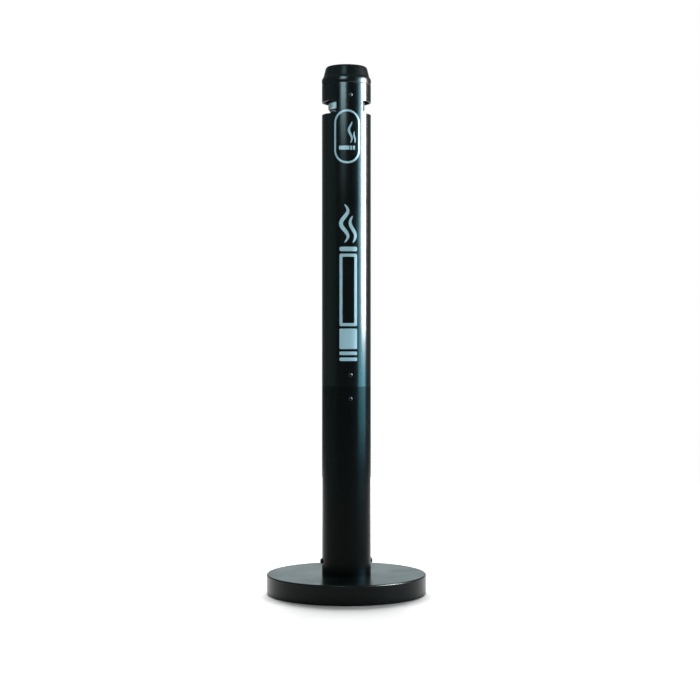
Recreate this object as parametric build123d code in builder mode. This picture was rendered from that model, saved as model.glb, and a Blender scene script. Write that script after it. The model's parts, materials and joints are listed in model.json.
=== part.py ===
from build123d import *
import os
from math import asin, cos, degrees, radians, sin, sqrt

# A free-standing pole ashtray bin for cigarette ends, in millimetres. The origin is on
# the floor, on the pole's axis, with +Z up. The front web between the two mouths, the
# lock screw and the front screws face -Y, and the mouths open towards -X and +X.
# A weighted round base carries the lower tube. The upper tube slides over a sleeve in
# the lower one, a lock screw holds it down, and it lifts off so that the canister
# inside can be pulled out by its bail.

# --- Driving dimensions -------------------------------------------------------------

# Pole tubes.
POLE_R = 49.75
POLE_WALL = 2.5
JOINT_Z = 421.0
TUBE_TOP_Z = 1031.4
TUBE_EDGE = 0.35

# Base.
BASE_R = 162.0
BASE_TOP_Z = 40.0
BASE_EDGE_R = 2.2
COVER_WALL = 1.5
COVER_RIM_Z = 1.5
WEIGHT_R = 157.0
WEIGHT_LOW_Z = 4.5
WEIGHT_PLATE = 8.0
WEIGHT_BOSS_R = 62.0
WEIGHT_BOSS_CHAMFER = 2.0
PAD_OUTER_R = 155.0
PAD_INNER_R = 120.0
PAD_CHAMFER = 1.0

# Socket that the lower tube stands over.
SOCKET_R = 46.95
SOCKET_BORE_R = 42.0
SOCKET_PLATE = 10.0
SOCKET_TOP_Z = 88.0
SOCKET_CHAMFER = 1.5

# Bolts from below, with their washers, in pockets under the weight.
BOLT_CIRCLE_R = 27.0
BOLT_R = 4.0
BOLT_COUNT = 4
BOLT_END_GAP = 0.5
BOLT_HEAD_FLATS = 12.8
BOLT_HEAD_HEIGHT = 5.3
WASHER_R = 8.4
WASHER_THICKNESS = 1.6
BOLT_POCKET_R = 10.4
BOLT_POCKET_DEPTH = 11.2

# Sleeve that joins the two tubes.
SLEEVE_R = 46.95
SLEEVE_WALL = 2.5
SLEEVE_LOW_Z = 378.0
SLEEVE_TOP_Z = 470.0
SLEEVE_CHAMFER = 1.2
SCREW_TO_JOINT = 24.0

# Mouths and the stub cup hanging behind them.
MOUTH_LOW_Z = 971.2
MOUTH_TOP_Z = 996.5
MOUTH_HALF_ANGLE = 57.0
MOUTH_CORNER_R = 1.4
CUP_R = 37.0
CUP_WALL = 1.0
CUP_LOW_Z = 980.0
CUP_TOP_Z = 1037.0
CUP_TOP_WALL = 2.5
CUP_EDGE_R = 3.0
CUP_LIP_R = 5.0
CUP_LIP_ANGLE = 60.0
CUP_SCREW_CIRCLE_R = 20.0
CUP_SCREW_COUNT = 3
CUP_SCREW_LENGTH = 12.0

# Cap.
GASKET_Z = (TUBE_TOP_Z, TUBE_TOP_Z + 1.6)
GASKET_INSET = 1.0
COLLAR_LOW_R = 49.2
COLLAR_BULGE = (50.0, 1040.0)
COLLAR_TOP = (49.6, 1043.4)
SHOULDER_TOP = (46.9, 1047.6)
CONE_FOOT = (46.5, 1048.6)
CONE_TOP = (42.3, 1065.0)
CROWN_BEND = (40.8, 1067.5)
CROWN_EDGE = (37.0, 1069.3)
CROWN_Z = 1071.1
CAP_WALL = 3.0
CAP_BOSS_R = 6.0
SPIGOT_R = 47.05
SPIGOT_BORE_R = 44.05
SPIGOT_LOW_Z = 999.5
SPIGOT_LEAD_IN = (0.8, 1.2)
CAP_SCREW_Z = 1006.6

# Screws: shank radius, head radius, head height and the key's width across flats.
TAPPED_GAP = 0.05
CLEARANCE_GAP = 0.25
CUP_SCREW = (2.0, 3.8, 2.2, 2.5)
SMALL_SCREW = (2.5, 4.75, 2.75, 3.0)
BASE_SCREW = (3.0, 5.8, 3.9, 4.0)
BASE_SCREW_Z = 66.0
SCREW_END_CHAMFER = 0.5

# Canister and its bail.
CAN_R = 40.0
CAN_WALL = 0.8
CAN_LOW_Z = 50.3
CAN_FLOOR_Z = 55.0
FLARE_LOW_Z = 466.0
FLARE_TOP = (45.0, 476.0)
BEAD_R = 1.2
EAR_WIDTH = 12.0
EAR_WALL = 1.5
EAR_LOW_Z = 444.0
EAR_TOP_Z = 487.5
EAR_CORNER_R = 2.5
RIVET_R = 1.5
RIVET_HEAD_R = 2.6
RIVET_HEAD = 0.8
RIVET_Z = (449.0, 459.0)
BAIL_WIRE_R = 1.3
BAIL_HEAD_R = 2.2
BAIL_HEAD = 1.0
BAIL_HEAD_GAP = 0.5
BAIL_RING_R = 43.4
BAIL_GRIP_R = 2.5
BAIL_GRIP_ANGLE = 64.0
BAIL_GAP = 0.4
PIN_GAP = 0.05

# Nut plate of the lock screw, behind the sleeve's slot.
LOCK_SLOT_GAP = 0.4
NUT_SIZE = 14.0
NUT_FACE_Y = -43.5
NUT_THICKNESS = 2.2
NUT_CORNER_R = 1.5
LOCK_TIP_Y = -41.0

# --- Places worked out from them ----------------------------------------------------

POLE_BORE_R = POLE_R - POLE_WALL
LOCK_Z = JOINT_Z + SCREW_TO_JOINT
SLEEVE_SCREW_Z = JOINT_Z - SCREW_TO_JOINT
SLEEVE_BORE_R = SLEEVE_R - SLEEVE_WALL
CAN_BORE_R = CAN_R - CAN_WALL
BEAD_TOP_Z = FLARE_TOP[1] + 2 * BEAD_R
BAIL_Z = BEAD_TOP_Z + BAIL_GRIP_R + BAIL_GAP
EAR_R = CAN_BORE_R
SOCKET_PLATE_TOP_Z = BASE_TOP_Z + SOCKET_PLATE
WEIGHT_BOSS_TOP_Z = BASE_TOP_Z - COVER_WALL
WASHER_Z = WEIGHT_LOW_Z + BOLT_POCKET_DEPTH - WASHER_THICKNESS
CUP_CEILING_Z = CUP_TOP_Z - CUP_TOP_WALL
RIVET_SEAT_R = sqrt((EAR_R - EAR_WALL) ** 2 - RIVET_HEAD_R**2)
BAIL_END_R = EAR_R - EAR_WALL - BAIL_HEAD_GAP
CROWN_RISE = CROWN_Z - CROWN_EDGE[1]
CROWN_R = (CROWN_EDGE[0] ** 2 + CROWN_RISE**2) / (2 * CROWN_RISE)
CROWN_HALF_ANGLE = degrees(asin(CROWN_EDGE[0] / CROWN_R))

FRONT_AND_REAR = (Plane.XZ, Plane.XZ.rotated((0, 0, 180)))
LEFT_AND_RIGHT = (Plane.YZ, Plane.YZ.rotated((0, 0, 180)))


def radial_places(planes, radius, height):
    """Places on the pole's side at a radius and a height, each with its +Z outwards."""
    return [(plane.offset(radius) * Pos(0, height)) for plane in planes]


def cut_through(plane, height, hole_r):
    """Cuts one round hole straight through the part being built, along a plane's normal."""
    with BuildSketch(plane) as hole:
        with Locations((0, height)):
            Circle(hole_r)
    extrude(hole.sketch, amount=2 * POLE_R, both=True, mode=Mode.SUBTRACT)


def bolt_circle():
    """Places of the base's bolts."""
    return PolarLocations(BOLT_CIRCLE_R, BOLT_COUNT, start_angle=45)


def cup_screw_circle():
    """Places of the stub cup's screws."""
    return PolarLocations(CUP_SCREW_CIRCLE_R, CUP_SCREW_COUNT)


def lines_up_to(part, length):
    """The straight edges of a part that are shorter than a length."""
    return part.edges().filter_by(GeomType.LINE).filter_by(lambda edge: edge.length < length)


def button_screw(sizes, length):
    """A button-head screw, with its head above the XY plane and its shank below."""
    shank_r, head_r, head_height, key = sizes
    flat_edge = (0.42 * head_r, head_height)
    dome = (0.83 * head_r, 0.66 * head_height)
    head_edge = (head_r, 0.1 * head_height)
    with BuildPart() as screw:
        with BuildSketch(Plane.XZ):
            with BuildLine():
                Polyline((0, head_height), flat_edge)
                ThreePointArc(flat_edge, dome, head_edge)
                Polyline(
                    head_edge,
                    (head_r, 0),
                    (shank_r, 0),
                    (shank_r, -length + SCREW_END_CHAMFER),
                    (shank_r - SCREW_END_CHAMFER, -length),
                    (0, -length),
                    (0, head_height),
                )
            make_face()
        revolve(axis=Axis.Z)
        with BuildSketch(Plane.XY.offset(head_height)):
            RegularPolygon(key / 2, 6, major_radius=False)
        extrude(amount=-0.6 * head_height, mode=Mode.SUBTRACT)
    return screw.part


# --- Base ---------------------------------------------------------------------------

# The cover is a shallow spun shell, open below, with a small rounded top edge.
with BuildPart() as base_cover:
    with BuildSketch(Plane.XY.offset(COVER_RIM_Z)):
        Circle(BASE_R)
    extrude(amount=BASE_TOP_Z - COVER_RIM_Z)
    fillet(base_cover.edges().group_by(Axis.Z)[-1], BASE_EDGE_R)
    with BuildSketch(Plane.XY.offset(COVER_RIM_Z)):
        Circle(BASE_R - COVER_WALL)
    extrude(amount=WEIGHT_BOSS_TOP_Z - COVER_RIM_Z, mode=Mode.SUBTRACT)
    with BuildSketch(Plane.XY.offset(WEIGHT_BOSS_TOP_Z)):
        with bolt_circle():
            Circle(BOLT_R + CLEARANCE_GAP)
    extrude(amount=COVER_WALL, mode=Mode.SUBTRACT)

# The weight is a cast disc with a raised boss under the pole and pockets for the bolts' heads.
with BuildPart() as base_weight:
    with BuildSketch(Plane.XY.offset(WEIGHT_LOW_Z)):
        Circle(WEIGHT_R)
    extrude(amount=WEIGHT_PLATE)
    with BuildSketch(Plane.XY.offset(WEIGHT_LOW_Z)):
        Circle(WEIGHT_BOSS_R)
    extrude(amount=WEIGHT_BOSS_TOP_Z - WEIGHT_LOW_Z)
    chamfer(base_weight.faces().sort_by(Axis.Z)[-1].edges(), WEIGHT_BOSS_CHAMFER)
    with BuildSketch(Plane.XY.offset(WEIGHT_LOW_Z)):
        with bolt_circle():
            Circle(BOLT_R + CLEARANCE_GAP)
    extrude(amount=WEIGHT_BOSS_TOP_Z - WEIGHT_LOW_Z, mode=Mode.SUBTRACT)
    with BuildSketch(Plane.XY.offset(WEIGHT_LOW_Z)):
        with bolt_circle():
            Circle(BOLT_POCKET_R)
    extrude(amount=BOLT_POCKET_DEPTH, mode=Mode.SUBTRACT)

# The rubber ring under the weight is all that touches the floor.
with BuildPart() as floor_pad:
    with BuildSketch(Plane.XY):
        Circle(PAD_OUTER_R)
        Circle(PAD_INNER_R, mode=Mode.SUBTRACT)
    extrude(amount=WEIGHT_LOW_Z)
    chamfer(floor_pad.edges().group_by(Axis.Z)[0], PAD_CHAMFER)

# The socket is a cast cup that stands on the cover, inside the lower tube.
with BuildPart() as pole_socket:
    with BuildSketch(Plane.XY.offset(BASE_TOP_Z)):
        Circle(SOCKET_R)
    extrude(amount=SOCKET_TOP_Z - BASE_TOP_Z)
    chamfer(pole_socket.edges().group_by(Axis.Z)[-1], SOCKET_CHAMFER)
    with BuildSketch(Plane.XY.offset(SOCKET_PLATE_TOP_Z)):
        Circle(SOCKET_BORE_R)
    extrude(amount=SOCKET_TOP_Z - SOCKET_PLATE_TOP_Z, mode=Mode.SUBTRACT)
    with BuildSketch(Plane.XY.offset(BASE_TOP_Z)):
        with bolt_circle():
            Circle(BOLT_R + TAPPED_GAP)
    extrude(amount=SOCKET_PLATE, mode=Mode.SUBTRACT)
    cut_through(Plane.YZ, BASE_SCREW_Z, BASE_SCREW[0] + TAPPED_GAP)

# Four hexagon bolts come up from below, each on a washer, into the socket's plate.
with BuildPart() as base_washers:
    with BuildSketch(Plane.XY.offset(WASHER_Z)):
        with bolt_circle():
            Circle(WASHER_R)
            Circle(BOLT_R + CLEARANCE_GAP, mode=Mode.SUBTRACT)
    extrude(amount=WASHER_THICKNESS)

with BuildPart() as base_bolts:
    with BuildSketch(Plane.XY.offset(WASHER_Z - BOLT_HEAD_HEIGHT)):
        with bolt_circle():
            RegularPolygon(BOLT_HEAD_FLATS / 2, 6, major_radius=False)
    extrude(amount=BOLT_HEAD_HEIGHT)
    with BuildSketch(Plane.XY.offset(WASHER_Z)):
        with bolt_circle():
            Circle(BOLT_R)
    extrude(amount=SOCKET_PLATE_TOP_Z - BOLT_END_GAP - WASHER_Z)

# --- Lower pole ---------------------------------------------------------------------

with BuildPart() as lower_tube:
    with BuildSketch(Plane.XY.offset(BASE_TOP_Z)):
        Circle(POLE_R)
        Circle(POLE_BORE_R, mode=Mode.SUBTRACT)
    extrude(amount=JOINT_Z - BASE_TOP_Z)
    top_edges = lower_tube.edges().group_by(Axis.Z)[-1]
    chamfer(top_edges.sort_by(SortBy.RADIUS)[-1], TUBE_EDGE)
    cut_through(Plane.YZ, BASE_SCREW_Z, BASE_SCREW[0] + CLEARANCE_GAP)
    cut_through(Plane.XZ, SLEEVE_SCREW_Z, SMALL_SCREW[0] + CLEARANCE_GAP)

with BuildPart() as base_screws:
    with Locations(*radial_places(LEFT_AND_RIGHT, POLE_R, BASE_SCREW_Z)):
        add(button_screw(BASE_SCREW, POLE_R - SOCKET_BORE_R))

# The sleeve stands up out of the lower tube, and its front slot, open above, lets the
# lock screw ride up and off it.
with BuildPart() as coupling_sleeve:
    with BuildSketch(Plane.XY.offset(SLEEVE_LOW_Z)):
        Circle(SLEEVE_R)
        Circle(SLEEVE_BORE_R, mode=Mode.SUBTRACT)
    extrude(amount=SLEEVE_TOP_Z - SLEEVE_LOW_Z)
    top_edges = coupling_sleeve.edges().group_by(Axis.Z)[-1]
    chamfer(top_edges.sort_by(SortBy.RADIUS)[-1], SLEEVE_CHAMFER)
    cut_through(Plane.XZ, SLEEVE_SCREW_Z, SMALL_SCREW[0] + TAPPED_GAP)
    slot_half = SMALL_SCREW[0] + LOCK_SLOT_GAP
    with BuildSketch(Plane.XZ):
        with Locations((0, LOCK_Z)):
            Circle(slot_half)
            slot_align = (Align.CENTER, Align.MIN)
            Rectangle(2 * slot_half, 2 * (SLEEVE_TOP_Z - LOCK_Z), align=slot_align)
    extrude(amount=POLE_R, mode=Mode.SUBTRACT)

with BuildPart() as sleeve_screws:
    with Locations(*radial_places(FRONT_AND_REAR, POLE_R, SLEEVE_SCREW_Z)):
        add(button_screw(SMALL_SCREW, POLE_R - SLEEVE_BORE_R))

# --- Upper pole ---------------------------------------------------------------------

with BuildPart() as upper_tube:
    with BuildSketch(Plane.XY.offset(JOINT_Z)):
        Circle(POLE_R)
        Circle(POLE_BORE_R, mode=Mode.SUBTRACT)
    extrude(amount=TUBE_TOP_Z - JOINT_Z)
    low_edges = upper_tube.edges().group_by(Axis.Z)[0]
    chamfer(low_edges.sort_by(SortBy.RADIUS)[-1], TUBE_EDGE)
    # Each mouth is a wedge cut out of the wall, from the axis outwards.
    reach = 2 * POLE_R
    across = reach * cos(radians(MOUTH_HALF_ANGLE))
    along = reach * sin(radians(MOUTH_HALF_ANGLE))
    with BuildSketch(Plane.XY.offset(MOUTH_LOW_Z)):
        for side in (-1, 1):
            near = (side * across, -along)
            middle = (side * reach, 0)
            far = (side * across, along)
            with BuildLine():
                Polyline((0, 0), near, middle, far, close=True)
            make_face()
    extrude(amount=MOUTH_TOP_Z - MOUTH_LOW_Z, mode=Mode.SUBTRACT)
    fillet(lines_up_to(upper_tube, 1.5 * POLE_WALL), MOUTH_CORNER_R)
    cut_through(Plane.XZ, CAP_SCREW_Z, SMALL_SCREW[0] + CLEARANCE_GAP)
    with BuildSketch(Plane.XZ):
        with Locations((0, LOCK_Z)):
            Circle(SMALL_SCREW[0] + CLEARANCE_GAP)
    extrude(amount=POLE_R, mode=Mode.SUBTRACT)

with BuildPart() as cap_gasket:
    with BuildSketch(Plane.XY.offset(GASKET_Z[0])):
        Circle(POLE_R - GASKET_INSET)
        Circle(SPIGOT_R + TAPPED_GAP, mode=Mode.SUBTRACT)
    extrude(amount=GASKET_Z[1] - GASKET_Z[0])

# The cap is a cast dome: a slightly rounded collar in line with the tube, a sloped shoulder,
# a steep cone and a slightly crowned top, with a spigot that drops into the tube.
with BuildPart() as cap:
    with BuildSketch(Plane.XZ):
        with BuildLine():
            Polyline(
                (SPIGOT_R, GASKET_Z[1]),
                (COLLAR_LOW_R, GASKET_Z[1]),
            )
            ThreePointArc((COLLAR_LOW_R, GASKET_Z[1]), COLLAR_BULGE, COLLAR_TOP)
            Polyline(COLLAR_TOP, SHOULDER_TOP, CONE_FOOT, CONE_TOP)
            ThreePointArc(CONE_TOP, CROWN_BEND, CROWN_EDGE)
            CenterArc((0, CROWN_Z - CROWN_R), CROWN_R, 90 - CROWN_HALF_ANGLE, CROWN_HALF_ANGLE)
            Polyline(
                (0, CROWN_Z),
                (0, CROWN_Z - CAP_WALL),
                (CROWN_EDGE[0] - CAP_WALL, CROWN_EDGE[1] - CAP_WALL),
                (CONE_FOOT[0] - CAP_WALL, CONE_FOOT[1] - CAP_WALL),
                (SPIGOT_BORE_R, COLLAR_TOP[1] - CAP_WALL),
                (SPIGOT_BORE_R, SPIGOT_LOW_Z),
                (SPIGOT_R - SPIGOT_LEAD_IN[0], SPIGOT_LOW_Z),
                (SPIGOT_R, SPIGOT_LOW_Z + SPIGOT_LEAD_IN[1]),
                (SPIGOT_R, GASKET_Z[1]),
            )
        make_face()
    revolve(axis=Axis.Z)
    with BuildSketch(Plane.XY.offset(CUP_TOP_Z)):
        with cup_screw_circle():
            Circle(CAP_BOSS_R)
    extrude(amount=CROWN_Z - CAP_WALL - CUP_TOP_Z)
    with BuildSketch(Plane.XY.offset(CUP_TOP_Z)):
        with cup_screw_circle():
            Circle(CUP_SCREW[0] + TAPPED_GAP)
    extrude(amount=CUP_SCREW_LENGTH, mode=Mode.SUBTRACT)
    cut_through(Plane.XZ, CAP_SCREW_Z, SMALL_SCREW[0] + TAPPED_GAP)

with BuildPart() as cap_screws:
    with Locations(*radial_places(FRONT_AND_REAR, POLE_R, CAP_SCREW_Z)):
        add(button_screw(SMALL_SCREW, POLE_R - SPIGOT_BORE_R))

# The stub cup is a spun metal cup, open below, that hangs behind the mouths. Its lip turns
# inwards a little.
with BuildPart() as stub_cup:
    with BuildSketch(Plane.XZ):
        with BuildLine():
            lip_z = CUP_LOW_Z + CUP_LIP_R * sin(radians(CUP_LIP_ANGLE))
            lip_centre = (CUP_R - CUP_LIP_R, lip_z)
            outer_lip = CenterArc(lip_centre, CUP_LIP_R, 0, -CUP_LIP_ANGLE)
            inner_lip = CenterArc(lip_centre, CUP_LIP_R - CUP_WALL, 0, -CUP_LIP_ANGLE)
            Line(outer_lip @ 1, inner_lip @ 1)
            Polyline(
                inner_lip @ 0,
                (CUP_R - CUP_WALL, CUP_CEILING_Z),
                (0, CUP_CEILING_Z),
                (0, CUP_TOP_Z),
                (CUP_R, CUP_TOP_Z),
                outer_lip @ 0,
            )
        make_face()
    revolve(axis=Axis.Z)
    fillet(stub_cup.edges().group_by(Axis.Z)[-1], CUP_EDGE_R)
    with BuildSketch(Plane.XY.offset(CUP_LOW_Z)):
        with cup_screw_circle():
            Circle(CUP_SCREW[0] + CLEARANCE_GAP)
    extrude(amount=CUP_TOP_Z - CUP_LOW_Z, mode=Mode.SUBTRACT)

with BuildPart() as cup_screws:
    with Locations(Plane.XY.offset(CUP_CEILING_Z).location * Rot(180, 0, 0)):
        with cup_screw_circle():
            add(button_screw(CUP_SCREW, CUP_SCREW_LENGTH))

with BuildPart() as lock_nut:
    with BuildSketch(Plane.XZ.offset(-NUT_FACE_Y)):
        with Locations((0, LOCK_Z)):
            RectangleRounded(NUT_SIZE, NUT_SIZE, NUT_CORNER_R)
            Circle(SMALL_SCREW[0] + TAPPED_GAP, mode=Mode.SUBTRACT)
    extrude(amount=-NUT_THICKNESS)

# --- Lock screw ---------------------------------------------------------------------

with BuildPart() as lock_screw:
    with Locations(*radial_places(FRONT_AND_REAR[:1], POLE_R, LOCK_Z)):
        add(button_screw(SMALL_SCREW, POLE_R + LOCK_TIP_Y))

# --- Canister -----------------------------------------------------------------------

# The wall is a rolled sheet tube that flares out over the sleeve and ends in a bead.
with BuildPart() as canister_wall:
    with BuildSketch(Plane.XZ):
        with BuildLine():
            Polyline(
                (CAN_BORE_R, CAN_LOW_Z),
                (CAN_R, CAN_LOW_Z),
                (CAN_R, FLARE_LOW_Z),
                FLARE_TOP,
                (FLARE_TOP[0] - CAN_WALL, FLARE_TOP[1] + CAN_WALL / 2),
                (CAN_BORE_R, FLARE_LOW_Z + CAN_WALL / 2),
                close=True,
            )
        make_face()
        with Locations((FLARE_TOP[0] - CAN_WALL / 4, FLARE_TOP[1] + BEAD_R)):
            Circle(BEAD_R)
    revolve(axis=Axis.Z)
    cut_through(Plane.YZ, RIVET_Z[0], RIVET_R + TAPPED_GAP)
    cut_through(Plane.YZ, RIVET_Z[1], RIVET_R + TAPPED_GAP)

with BuildPart() as canister_floor:
    with BuildSketch(Plane.XZ):
        with BuildLine():
            floor_r = CAN_BORE_R - TAPPED_GAP
            Polyline(
                (0, CAN_FLOOR_Z),
                (floor_r, CAN_FLOOR_Z),
                (floor_r, CAN_LOW_Z),
                (floor_r - CAN_WALL, CAN_LOW_Z),
                (floor_r - CAN_WALL, CAN_FLOOR_Z - CAN_WALL),
                (0, CAN_FLOOR_Z - CAN_WALL),
                close=True,
            )
        make_face()
    revolve(axis=Axis.Z)

# Two ears, riveted inside the wall, rise above the bead and carry the bail's ends.
with BuildPart() as bail_ears:
    with BuildSketch(Plane.XY.offset(EAR_LOW_Z)):
        Circle(EAR_R)
        Circle(EAR_R - EAR_WALL, mode=Mode.SUBTRACT)
        Rectangle(2 * CAN_R, EAR_WIDTH, mode=Mode.INTERSECT)
    extrude(amount=EAR_TOP_Z - EAR_LOW_Z)
    cut_through(Plane.YZ, BAIL_Z, BAIL_WIRE_R + PIN_GAP)
    cut_through(Plane.YZ, RIVET_Z[0], RIVET_R + TAPPED_GAP)
    cut_through(Plane.YZ, RIVET_Z[1], RIVET_R + TAPPED_GAP)
    fillet(lines_up_to(bail_ears, 2 * EAR_WALL), EAR_CORNER_R)

# A rivet lies along a plane's normal, with a flat head against the ear's curved inner face
# and a low one outside the wall.
with BuildPart() as ear_rivets:
    for plane in LEFT_AND_RIGHT:
        for height in RIVET_Z:
            with BuildSketch(plane.offset(RIVET_SEAT_R - RIVET_HEAD)) as inner_head:
                with Locations((0, height)):
                    Circle(RIVET_HEAD_R)
            extrude(inner_head.sketch, amount=RIVET_HEAD)
            with BuildSketch(plane.offset(RIVET_SEAT_R)) as shank:
                with Locations((0, height)):
                    Circle(RIVET_R)
            extrude(shank.sketch, amount=CAN_R - RIVET_SEAT_R)
            with BuildSketch(plane.offset(CAN_R)) as outer_head:
                with Locations((0, height)):
                    Circle(RIVET_HEAD_R)
            extrude(outer_head.sketch, amount=RIVET_HEAD)

# --- Bail ---------------------------------------------------------------------------

# The bail is a half ring of wire, folded back on the bead, and its ends turn inwards
# through the ears to small upset heads.
with BuildPart() as bail_wire:
    with BuildSketch(Plane.XZ):
        with Locations((BAIL_RING_R, BAIL_Z)):
            Circle(BAIL_WIRE_R)
    revolve(axis=Axis.Z, revolution_arc=180)
    with Locations((BAIL_RING_R, 0, BAIL_Z), (-BAIL_RING_R, 0, BAIL_Z)):
        Sphere(BAIL_WIRE_R)
    for plane in LEFT_AND_RIGHT:
        with BuildSketch(plane.offset(BAIL_END_R)) as bail_end:
            with Locations((0, BAIL_Z)):
                Circle(BAIL_WIRE_R)
        extrude(bail_end.sketch, amount=BAIL_RING_R - BAIL_END_R)
        with BuildSketch(plane.offset(BAIL_END_R - BAIL_HEAD)) as upset_head:
            with Locations((0, BAIL_Z)):
                Circle(BAIL_HEAD_R)
        extrude(upset_head.sketch, amount=BAIL_HEAD)

with BuildPart() as bail_grip:
    grip_start = Plane.XZ.rotated((0, 0, 90 - BAIL_GRIP_ANGLE / 2))
    with BuildSketch(grip_start):
        with Locations((BAIL_RING_R, BAIL_Z)):
            Circle(BAIL_GRIP_R)
            Circle(BAIL_WIRE_R + TAPPED_GAP, mode=Mode.SUBTRACT)
    revolve(axis=Axis.Z, revolution_arc=BAIL_GRIP_ANGLE)

# --- Files --------------------------------------------------------------------------

pieces = {
    "base_cover": base_cover,
    "base_weight": base_weight,
    "floor_pad": floor_pad,
    "pole_socket": pole_socket,
    "base_washers": base_washers,
    "base_bolts": base_bolts,
    "lower_tube": lower_tube,
    "base_screws": base_screws,
    "coupling_sleeve": coupling_sleeve,
    "sleeve_screws": sleeve_screws,
    "upper_tube": upper_tube,
    "cap_gasket": cap_gasket,
    "cap": cap,
    "cap_screws": cap_screws,
    "stub_cup": stub_cup,
    "cup_screws": cup_screws,
    "lock_nut": lock_nut,
    "lock_screw": lock_screw,
    "canister_wall": canister_wall,
    "canister_floor": canister_floor,
    "bail_ears": bail_ears,
    "ear_rivets": ear_rivets,
    "bail_wire": bail_wire,
    "bail_grip": bail_grip,
}

os.makedirs("parts", exist_ok=True)
for node, piece in pieces.items():
    piece.part.label = node
    export_step(piece.part, f"parts/{node}.step")
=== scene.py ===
import json
import math

import bmesh
import bpy
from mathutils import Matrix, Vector


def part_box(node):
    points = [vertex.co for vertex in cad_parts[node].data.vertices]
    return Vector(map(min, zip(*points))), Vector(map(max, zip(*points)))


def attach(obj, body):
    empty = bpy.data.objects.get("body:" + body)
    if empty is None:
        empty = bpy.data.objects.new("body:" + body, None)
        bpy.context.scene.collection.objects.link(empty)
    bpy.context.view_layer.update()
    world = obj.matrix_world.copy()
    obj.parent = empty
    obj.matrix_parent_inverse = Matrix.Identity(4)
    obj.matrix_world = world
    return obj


# A pole ashtray bin: a black powder-coated pole on a weighted base, with a bare metal stub
# cup behind its two mouths and a galvanised canister inside. Everything is in metres.

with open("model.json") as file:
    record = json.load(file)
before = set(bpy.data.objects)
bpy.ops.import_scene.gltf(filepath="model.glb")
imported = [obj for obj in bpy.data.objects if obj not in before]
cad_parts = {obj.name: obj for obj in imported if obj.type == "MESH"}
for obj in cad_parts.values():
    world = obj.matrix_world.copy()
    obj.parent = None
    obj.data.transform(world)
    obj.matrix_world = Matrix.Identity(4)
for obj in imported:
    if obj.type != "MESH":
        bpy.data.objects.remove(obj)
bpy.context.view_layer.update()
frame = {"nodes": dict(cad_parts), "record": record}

MM = 0.001
POLE_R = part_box("upper_tube")[1].x


# --- Materials ----------------------------------------------------------------------


def linear(hex_colour):
    """An sRGB hex colour as linear red, green, blue and alpha."""
    values = [int(hex_colour[i : i + 2], 16) / 255 for i in (1, 3, 5)]
    return [v / 12.92 if v <= 0.04045 else ((v + 0.055) / 1.055) ** 2.4 for v in values] + [1.0]


def add_node(tree, kind, props={}, values={}, links={}):
    """Adds one node, sets its properties and input values, and links its inputs to sockets."""
    node = tree.nodes.new(kind)
    for name, value in props.items():
        setattr(node, name, value)
    for name, value in values.items():
        node.inputs[name].default_value = value
    for name, socket in links.items():
        tree.links.new(socket, node.inputs[name])
    return node


def new_material(name):
    """An empty node material with its tree, its shader and the object's own coordinates."""
    material = bpy.data.materials.new(name)
    material.use_nodes = True
    tree = material.node_tree
    tree.nodes.clear()
    shader = add_node(tree, "ShaderNodeBsdfPrincipled")
    add_node(tree, "ShaderNodeOutputMaterial", links={"Surface": shader.outputs["BSDF"]})
    place = add_node(tree, "ShaderNodeTexCoord").outputs["Object"]
    return material, tree, shader, place


def finish_surface(
    tree, shader, colours, tone, roughness, dullness, relief, strength, depth, spread=(0.0, 1.0)
):
    """Gives a surface its two colours, its range of roughness and its bumps.

    Tone takes it from the first colour to the second, dullness from the lower roughness to
    the higher, and relief is the height of its bumps. Spread is the part of dullness that
    the roughness follows. Strength and depth say how much the bumps turn the light and how
    deep they go.
    """
    tint = add_node(
        tree,
        "ShaderNodeMix",
        props={"data_type": "RGBA"},
        values={"A": linear(colours[0]), "B": linear(colours[1])},
        links={"Factor": tone},
    )
    gloss = add_node(
        tree,
        "ShaderNodeMapRange",
        values={
            "From Min": spread[0],
            "From Max": spread[1],
            "To Min": roughness[0],
            "To Max": roughness[1],
        },
        links={"Value": dullness},
    )
    bumps = add_node(
        tree,
        "ShaderNodeBump",
        values={"Strength": strength, "Distance": depth},
        links={"Height": relief},
    )
    tree.links.new(tint.outputs["Result"], shader.inputs["Base Color"])
    tree.links.new(gloss.outputs["Result"], shader.inputs["Roughness"])
    tree.links.new(bumps.outputs["Normal"], shader.inputs["Normal"])


PEEL_LUMP = 2.0 * MM
PEEL_DEPTH = 0.02 * MM
HANDLED_PATCH = 60 * MM


def powder_coat(name, colours, roughness, level, peel):
    """Satin black powder coat: low gloss head on, paler at the edges, with fine orange peel."""
    material, tree, shader, place = new_material(name)
    # The melted powder leaves a skin of soft lumps.
    lumps = add_node(
        tree,
        "ShaderNodeTexNoise",
        values={"Scale": 1 / PEEL_LUMP, "Detail": 2.0},
        links={"Vector": place},
    )
    # Handling and dust change the gloss and the black in much wider patches.
    patches = add_node(
        tree,
        "ShaderNodeTexNoise",
        values={"Scale": 1 / HANDLED_PATCH, "Detail": 5.0},
        links={"Vector": place},
    )
    finish_surface(
        tree,
        shader,
        colours=colours,
        tone=patches.outputs["Fac"],
        dullness=patches.outputs["Fac"],
        roughness=(roughness - 0.02, roughness + 0.03),
        relief=lumps.outputs["Fac"],
        strength=peel,
        depth=PEEL_DEPTH,
        spread=(0.3, 0.7),
    )
    shader.inputs["Specular IOR Level"].default_value = level
    return material


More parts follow.
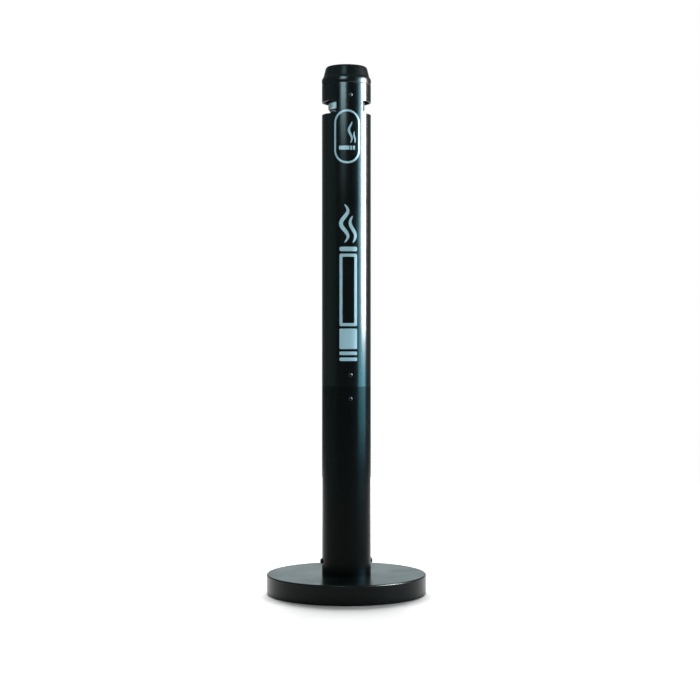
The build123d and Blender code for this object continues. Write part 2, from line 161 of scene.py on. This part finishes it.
def worked_metal(name, colours, roughness, mark, depth):
    """Bare metal with working marks, each as long along X, Y and Z as the mark says."""
    material, tree, shader, place = new_material(name)
    laid = add_node(
        tree,
        "ShaderNodeMapping",
        values={"Scale": [1 / length for length in mark]},
        links={"Vector": place},
    )
    marks = add_node(
        tree,
        "ShaderNodeTexNoise",
        values={"Scale": 1.0, "Detail": 4.0},
        links={"Vector": laid.outputs["Vector"]},
    )
    finish_surface(
        tree,
        shader,
        colours=colours,
        tone=marks.outputs["Fac"],
        dullness=marks.outputs["Fac"],
        roughness=(roughness - 0.06, roughness + 0.1),
        relief=marks.outputs["Fac"],
        strength=0.5,
        depth=depth,
    )
    shader.inputs["Metallic"].default_value = 1.0
    return material


SPANGLE = 9 * MM
ZINC_GRAIN = 1.5 * MM


def galvanised_sheet(name, colours, roughness, depth):
    """Hot-dip galvanised sheet steel: dull zinc in crystal spangles, each its own grey."""
    material, tree, shader, place = new_material(name)
    spangles = add_node(
        tree,
        "ShaderNodeTexVoronoi",
        values={"Scale": 1 / SPANGLE},
        links={"Vector": place},
    )
    # Each spangle has a colour of its own, whose red and green give it its grey and its gloss.
    grey = add_node(
        tree, "ShaderNodeSeparateColor", links={"Color": spangles.outputs["Color"]}
    )
    grain = add_node(
        tree,
        "ShaderNodeTexNoise",
        values={"Scale": 1 / ZINC_GRAIN, "Detail": 3.0},
        links={"Vector": place},
    )
    finish_surface(
        tree,
        shader,
        colours=colours,
        tone=grey.outputs["Red"],
        dullness=grey.outputs["Green"],
        roughness=roughness,
        relief=grain.outputs["Fac"],
        strength=0.3,
        depth=depth,
    )
    shader.inputs["Metallic"].default_value = 1.0
    return material


def grained(name, colours, roughness, grain, depth, metallic=0.0, level=0.5):
    """A dull moulded, cast or blackened surface with an even grain of the given size."""
    material, tree, shader, place = new_material(name)
    lumps = add_node(
        tree,
        "ShaderNodeTexNoise",
        values={"Scale": 1 / grain, "Detail": 5.0},
        links={"Vector": place},
    )
    finish_surface(
        tree,
        shader,
        colours=colours,
        tone=lumps.outputs["Fac"],
        dullness=lumps.outputs["Fac"],
        roughness=(roughness - 0.08, roughness + 0.08),
        relief=lumps.outputs["Fac"],
        strength=0.6,
        depth=depth,
    )
    shader.inputs["Metallic"].default_value = metallic
    shader.inputs["Specular IOR Level"].default_value = level
    return material


INK_SPECK = 1.2 * MM
INK_ROUGHNESS = 0.42


def print_ink(name):
    """Pale blue screen-print ink: a thin matt film, faintly darker in specks where it is thin."""
    material, tree, shader, place = new_material(name)
    specks = add_node(
        tree,
        "ShaderNodeTexNoise",
        values={"Scale": 1 / INK_SPECK, "Detail": 3.0},
        links={"Vector": place},
    )
    cover = add_node(
        tree,
        "ShaderNodeMapRange",
        values={"From Min": 0.25, "From Max": 0.6},
        links={"Value": specks.outputs["Fac"]},
    )
    tint = add_node(
        tree,
        "ShaderNodeMix",
        props={"data_type": "RGBA"},
        values={"A": linear("#8fbccb"), "B": linear("#9ecbda")},
        links={"Factor": cover.outputs["Result"]},
    )
    tree.links.new(tint.outputs["Result"], shader.inputs["Base Color"])
    shader.inputs["Roughness"].default_value = INK_ROUGHNESS
    return material


finishes = {
    # Powder coat on extruded aluminium: a smooth satin black with clean reflections.
    "satin_black_tube": powder_coat(
        "satin_powder_coat", ("#070909", "#0a0c0c"), roughness=0.2, level=0.125, peel=0.25
    ),
    # The lower tube's coat reflects less than half as much, so it looks a duller black.
    "dull_black_tube": powder_coat(
        "dull_powder_coat", ("#080c0c", "#0a0f0f"), roughness=0.22, level=0.052, peel=0.3
    ),
    # The cap is a casting, so its coat shows more orange peel.
    "black_cast": powder_coat(
        "cast_powder_coat", ("#070909", "#0a0c0c"), roughness=0.24, level=0.125, peel=0.45
    ),
    # The base cover is spun steel, whose coat shows softer reflections than the tube's.
    "black_cover": powder_coat(
        "cover_powder_coat", ("#070c0c", "#0a0f0f"), roughness=0.24, level=0.105, peel=0.4
    ),
    # Drawn stainless steel, brushed round the cup: bright, with fine streaks round it.
    "bare_stub_metal": worked_metal(
        "brushed_stainless",
        ("#d3d8da", "#aeb6ba"),
        roughness=0.14,
        mark=(8.33 * MM, 8.33 * MM, 0.385 * MM),
        depth=0.01 * MM,
    ),
    # Galvanised sheet: pale dull zinc, mottled by its spangles.
    "galvanised": galvanised_sheet(
        "galvanised_steel", ("#8d9498", "#bcc3c6"), roughness=(0.32, 0.52), depth=0.02 * MM
    ),
    # Steel screws blackened in a hot bath: nearly black, with a dull metal gleam.
    "black_oxide": grained(
        "black_oxide_steel",
        ("#101214", "#1b1e20"),
        roughness=0.42,
        grain=0.6 * MM,
        depth=0.01 * MM,
        metallic=0.9,
    ),
    # Zinc-plated steel bolts, washers and wire: grey metal, faintly cloudy.
    "zinc_steel": worked_metal(
        "zinc_plated_steel",
        ("#b9bcba", "#94999a"),
        roughness=0.34,
        mark=(2.0 * MM, 2.0 * MM, 2.0 * MM),
        depth=0.01 * MM,
    ),
    # Drawn aluminium, as it leaves the mill: pale, with fine lines up it.
    "mill_aluminium": worked_metal(
        "mill_aluminium",
        ("#c4c7c8", "#a4a8aa"),
        roughness=0.36,
        mark=(1.11 * MM, 1.11 * MM, 16.7 * MM),
        depth=0.02 * MM,
    ),
    # Sand-cast grey iron: a dark, rough skin that hardly reflects.
    "cast_weight": grained(
        "sand_cast_iron",
        ("#25272a", "#3b3e40"),
        roughness=0.72,
        grain=1.2 * MM,
        depth=0.25 * MM,
        metallic=0.3,
    ),
    # Moulded black rubber: a flat black with almost no reflection.
    "black_rubber": grained(
        "moulded_rubber",
        ("#08090a", "#101213"),
        roughness=0.7,
        grain=0.8 * MM,
        depth=0.05 * MM,
        level=0.1,
    ),
    # Dipped black vinyl: a soft sheen over slight ripples.
    "grip_vinyl": grained(
        "dipped_vinyl",
        ("#121314", "#1c1e20"),
        roughness=0.46,
        grain=1.0 * MM,
        depth=0.04 * MM,
    ),
}

slots = {row["node"]: row["material_slot"] for row in frame["record"]["subparts"]}
for node_name, piece in frame["nodes"].items():
    piece.data.materials.clear()
    piece.data.materials.append(finishes[slots[node_name]])


# --- Printed pictograms -------------------------------------------------------------
# Each is drawn flat, in millimetres from its own centre, then wrapped round the tube.

INK_THICKNESS = 0.06 * MM
INK_CLEARANCE = 0.01 * MM
# These four are in millimetres of the flat drawing.
WRAP_STEP = 1.5
WELD_GAP = 1e-4
CUT_GAP = 1e-5
WISP_TIP = 0.05

CORNER_STEPS = 6
WISP_STEPS = 48


def bar_outline(left, right, low, high, corner):
    """A rectangle with rounded corners."""
    points = []
    for x, y, start in (
        (right - corner, high - corner, 0),
        (left + corner, high - corner, 90),
        (left + corner, low + corner, 180),
        (right - corner, low + corner, 270),
    ):
        for i in range(CORNER_STEPS + 1):
            angle = math.radians(start + 90 * i / CORNER_STEPS)
            points.append((x + corner * math.cos(angle), y + corner * math.sin(angle)))
    return points


def smoke_outline(x, low, high, sway, waves, width):
    """A rising wisp: a wavy stroke that is widest in its middle and pointed at both ends."""
    sides = ([], [])
    for i in range(WISP_STEPS + 1):
        t = i / WISP_STEPS
        middle = x + sway * math.sin(2 * math.pi * waves * t)
        slope = sway * 2 * math.pi * waves * math.cos(2 * math.pi * waves * t) / (high - low)
        half = 0.5 * width * math.sin(math.pi * t) ** 0.5 + WISP_TIP
        length = math.hypot(1, slope)
        y = low + (high - low) * t
        sides[0].append((middle - half / length, y + half * slope / length))
        sides[1].append((middle + half / length, y - half * slope / length))
    return sides[0] + sides[1][::-1]


def print_on_pole(name, outlines, azimuth, height, ink):
    """Fills the outlines, even-odd, and wraps them round the upper tube as one film of ink."""
    curve = bpy.data.curves.new(name, "CURVE")
    curve.dimensions = "2D"
    curve.fill_mode = "BOTH"
    for outline in outlines:
        spline = curve.splines.new("POLY")
        spline.points.add(len(outline) - 1)
        for point, (x, y) in zip(spline.points, outline):
            point.co = (x, y, 0, 1)
        spline.use_cyclic_u = True
    flat = bpy.data.objects.new(name + "_flat", curve)
    bpy.context.scene.collection.objects.link(flat)
    bpy.context.view_layer.update()
    mesh = bpy.data.meshes.new_from_object(flat)
    bpy.data.objects.remove(flat)
    bm = bmesh.new()
    bm.from_mesh(mesh)
    bmesh.ops.remove_doubles(bm, verts=bm.verts, dist=WELD_GAP)
    # Upright cuts let the film bend with the tube.
    reach = max(abs(v.co.x) for v in bm.verts)
    for i in range(1, int(2 * reach / WRAP_STEP)):
        bmesh.ops.bisect_plane(
            bm,
            geom=bm.verts[:] + bm.edges[:] + bm.faces[:],
            plane_co=(-reach + i * WRAP_STEP, 0, 0),
            plane_no=(1, 0, 0),
            dist=CUT_GAP,
        )
    grown = bmesh.ops.extrude_face_region(bm, geom=bm.faces[:])
    raised = {v for v in grown["geom"] if isinstance(v, bmesh.types.BMVert)}
    for vert in bm.verts:
        radius = POLE_R + INK_CLEARANCE + (INK_THICKNESS if vert in raised else 0)
        angle = math.radians(azimuth) + vert.co.x * MM / POLE_R
        vert.co = (
            radius * math.sin(angle),
            -radius * math.cos(angle),
            height + vert.co.y * MM,
        )
    bmesh.ops.recalc_face_normals(bm, faces=bm.faces)
    bm.to_mesh(mesh)
    bm.free()
    mesh.materials.clear()
    mesh.materials.append(ink)
    piece = bpy.data.objects.new(name, mesh)
    bpy.context.scene.collection.objects.link(piece)
    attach(piece, "upper_pole")


BADGE_AZIMUTH = -7.0
BADGE_HEIGHT = 0.9227
TALL_AZIMUTH = -4.2
TALL_HEIGHT = 0.630

pale_blue_ink = print_ink("screen_print_ink")
badge = [
    # The upright pill-shaped frame, its outer and inner edges.
    bar_outline(-27, 27, -54, 54, 26.8),
    bar_outline(-23, 23, -50, 50, 22.8),
    # The cigarette, lying down, and two short pieces at its lit end.
    bar_outline(-16.5, 4.5, -26.5, -18.5, 1.0),
    bar_outline(6.2, 10.2, -26.5, -18.5, 0.6),
    bar_outline(11.9, 15.9, -26.5, -18.5, 0.6),
    # The smoke.
    smoke_outline(6.5, -13.0, 30.0, sway=3.0, waves=1.25, width=4.6),
    smoke_outline(15.0, -13.0, 10.0, sway=1.3, waves=1.0, width=3.4),
]
print_on_pole("badge_print", badge, BADGE_AZIMUTH, BADGE_HEIGHT, pale_blue_ink)
tall_cigarette = [
    # Two bands and the filter.
    bar_outline(-18, 18, -157, -150, 2.0),
    bar_outline(-18, 18, -145, -138, 2.0),
    bar_outline(-18, 18, -133, -92, 2.0),
    # The paper, drawn as a frame.
    bar_outline(-18, 18, -87, 58, 3.0),
    bar_outline(-12, 12, -81, 52, 1.5),
    # The lit end.
    bar_outline(-18, 18, 63, 72, 3.0),
    # The smoke.
    smoke_outline(-8.0, 80, 157, sway=7.0, waves=1.5, width=8.0),
    smoke_outline(9.0, 80, 134, sway=5.5, waves=1.0, width=7.0),
]
print_on_pole("tall_print", tall_cigarette, TALL_AZIMUTH, TALL_HEIGHT, pale_blue_ink)


# --- Floor, light and camera --------------------------------------------------------

FLOOR_R = 2.6
FLOOR_SIDES = 96
FLOOR_CLOUDS_PER_METRE = 3.0


def make_floor():
    """A plain pale floor with the faintest clouds in its paint, wide enough for every view."""
    material, tree, shader, place = new_material("pale_floor_paint")
    clouds = add_node(
        tree,
        "ShaderNodeTexNoise",
        values={"Scale": FLOOR_CLOUDS_PER_METRE, "Detail": 2.0},
        links={"Vector": place},
    )
    tint = add_node(
        tree,
        "ShaderNodeMix",
        props={"data_type": "RGBA"},
        values={"A": linear("#f2f3f3"), "B": linear("#f6f6f6")},
        links={"Factor": clouds.outputs["Fac"]},
    )
    tree.links.new(tint.outputs["Result"], shader.inputs["Base Color"])
    shader.inputs["Roughness"].default_value = 1.0
    shader.inputs["Specular IOR Level"].default_value = 0.0
    mesh = bpy.data.meshes.new("floor")
    bm = bmesh.new()
    bmesh.ops.create_circle(bm, cap_ends=True, segments=FLOOR_SIDES, radius=FLOOR_R)
    bm.to_mesh(mesh)
    bm.free()
    mesh.materials.append(material)
    floor = bpy.data.objects.new("floor", mesh)
    bpy.context.scene.collection.objects.link(floor)


CAMERA_AZIMUTH = -8.8
CAMERA_DISTANCE = 3.15
CAMERA_HEIGHT = 0.521
AIM_HEIGHT = 0.4947
AIM_RIGHT = 0.0073
CAMERA_LENS = 79.6


def toward(azimuth, distance, height):
    """A point at a distance from the pole's axis: azimuth 0 is -Y, the front, and 90 is +X."""
    angle = math.radians(azimuth)
    return Vector((distance * math.sin(angle), -distance * math.cos(angle), height))


def make_camera():
    """A camera a little left of the front, at about half the bin's height."""
    camera = bpy.data.objects.new("camera", bpy.data.cameras.new("camera"))
    bpy.context.scene.collection.objects.link(camera)
    camera.location = toward(CAMERA_AZIMUTH, CAMERA_DISTANCE, CAMERA_HEIGHT)
    aim = toward(CAMERA_AZIMUTH + 90, AIM_RIGHT, AIM_HEIGHT)
    camera.rotation_euler = (aim - camera.location).to_track_quat("-Z", "Y").to_euler()
    camera.data.lens = CAMERA_LENS
    bpy.context.scene.camera = camera


LAMP_WATTS_PER_M2 = 4


def softbox(
    name, azimuth, distance, low, high, width, brightness, colour="#ffffff", gloss=True, matt=True
):
    """A soft rectangular light standing round the bin, from a low to a high height.

    Gloss says whether it shows in reflections, and matt whether it lights matt surfaces.
    """
    middle = 0.5 * (low + high)
    data = bpy.data.lights.new(name, "AREA")
    data.shape = "RECTANGLE"
    data.size = width
    data.size_y = high - low
    data.color = linear(colour)[:3]
    # The power grows with the box's area, so its brightness doesn't change with its size.
    data.energy = LAMP_WATTS_PER_M2 * brightness * data.size * data.size_y
    light = bpy.data.objects.new(name, data)
    bpy.context.scene.collection.objects.link(light)
    light.location = toward(azimuth, distance, middle)
    # A box that shows in reflections stands upright; the others tilt down at the bin's foot.
    aim = Vector((0, 0, middle if gloss else 0))
    light.rotation_euler = (aim - light.location).to_track_quat("-Z", "Y").to_euler()
    light.visible_camera = False
    light.visible_glossy = gloss
    light.visible_diffuse = matt


# The surround's colour in reflections, from in front of the bin (0) to straight behind it (1).
SURROUND = (
    (0.10, (0.20, 0.25, 0.27)),
    (0.24, (0.48, 0.84, 0.87)),
    (0.50, (0.48, 0.84, 0.87)),
    (0.68, (0.30, 0.33, 0.34)),
    (0.978, (0.22, 0.26, 0.27)),
    (0.990, (1.02, 1.23, 1.25)),
)
SURROUND_ON_MATT = (0.15, 0.15, 0.15)
WHITE = (1, 1, 1, 1)


def make_world():
    """A studio surround: plain white seen directly, dim on matt surfaces, and in reflections
    dim in front of the bin, pale teal at its sides and bright straight behind it."""
    world = bpy.data.worlds.new("studio")
    bpy.context.scene.world = world
    world.use_nodes = True
    tree = world.node_tree
    tree.nodes.clear()
    place = add_node(tree, "ShaderNodeTexCoord")
    behind = add_node(
        tree,
        "ShaderNodeVectorMath",
        props={"operation": "DOT_PRODUCT"},
        values={1: toward(180 + CAMERA_AZIMUTH, 1, 0)},
        links={0: place.outputs["Generated"]},
    )
    share = add_node(
        tree,
        "ShaderNodeMapRange",
        values={"From Min": -1.0},
        links={"Value": behind.outputs["Value"]},
    )
    walls = add_node(tree, "ShaderNodeValToRGB", links={"Fac": share.outputs["Result"]})
    stops = walls.color_ramp.elements
    while len(stops) < len(SURROUND):
        stops.new(0.5)
    for stop, (position, colour) in zip(stops, SURROUND):
        stop.position = position
        stop.color = (*colour, 1)
    path = add_node(tree, "ShaderNodeLightPath")
    mirrored = add_node(tree, "ShaderNodeBackground", links={"Color": walls.outputs["Color"]})
    on_matt = add_node(tree, "ShaderNodeBackground", values={"Color": (*SURROUND_ON_MATT, 1)})
    seen = add_node(tree, "ShaderNodeBackground", values={"Color": WHITE})
    lit = add_node(
        tree,
        "ShaderNodeMixShader",
        links={
            "Fac": path.outputs["Is Glossy Ray"],
            1: on_matt.outputs["Background"],
            2: mirrored.outputs["Background"],
        },
    )
    both = add_node(
        tree,
        "ShaderNodeMixShader",
        links={
            "Fac": path.outputs["Is Camera Ray"],
            1: lit.outputs["Shader"],
            2: seen.outputs["Background"],
        },
    )
    add_node(tree, "ShaderNodeOutputWorld", links={"Surface": both.outputs["Shader"]})


make_floor()
make_camera()
make_world()
bpy.context.scene.view_settings.view_transform = "Standard"

# The tall box on the right makes the bright band down the pole.
softbox(
    "right_box",
    azimuth=CAMERA_AZIMUTH + 86.5,
    distance=1.15,
    low=0.54,
    high=1.36,
    width=0.53,
    brightness=110,
    matt=False,
)
# A weaker, cool box over it makes the band's cool edge and its faint lower end.
softbox(
    "cool_box",
    azimuth=CAMERA_AZIMUTH + 78,
    distance=1.2,
    low=0.24,
    high=1.36,
    width=0.90,
    brightness=34,
    colour="#4fa6bd",
    matt=False,
)
# A high box near the camera makes the short soft band on the left of the head.
softbox(
    "high_box",
    azimuth=CAMERA_AZIMUTH - 14.3,
    distance=1.2,
    low=1.13,
    high=1.6,
    width=0.5,
    brightness=38,
    colour="#b4dce4",
    matt=False,
)
# A dim box above it catches the cap's cone and shoulder.
softbox(
    "cone_box",
    azimuth=CAMERA_AZIMUTH - 13,
    distance=1.2,
    low=1.6,
    high=2.6,
    width=0.4,
    brightness=6,
    colour="#a8dde6",
    matt=False,
)
# A wide box far behind lights the floor evenly and throws the soft shadow forwards.
softbox(
    "back_box",
    azimuth=180 + CAMERA_AZIMUTH,
    distance=6.0,
    low=1.2,
    high=7.0,
    width=7.5,
    brightness=9.0,
    gloss=False,
)
# A weaker one high in front keeps the near side of the floor pale.
softbox(
    "front_box",
    azimuth=CAMERA_AZIMUTH,
    distance=5.0,
    low=2.5,
    high=6.5,
    width=6.0,
    brightness=0.7,
    gloss=False,
)
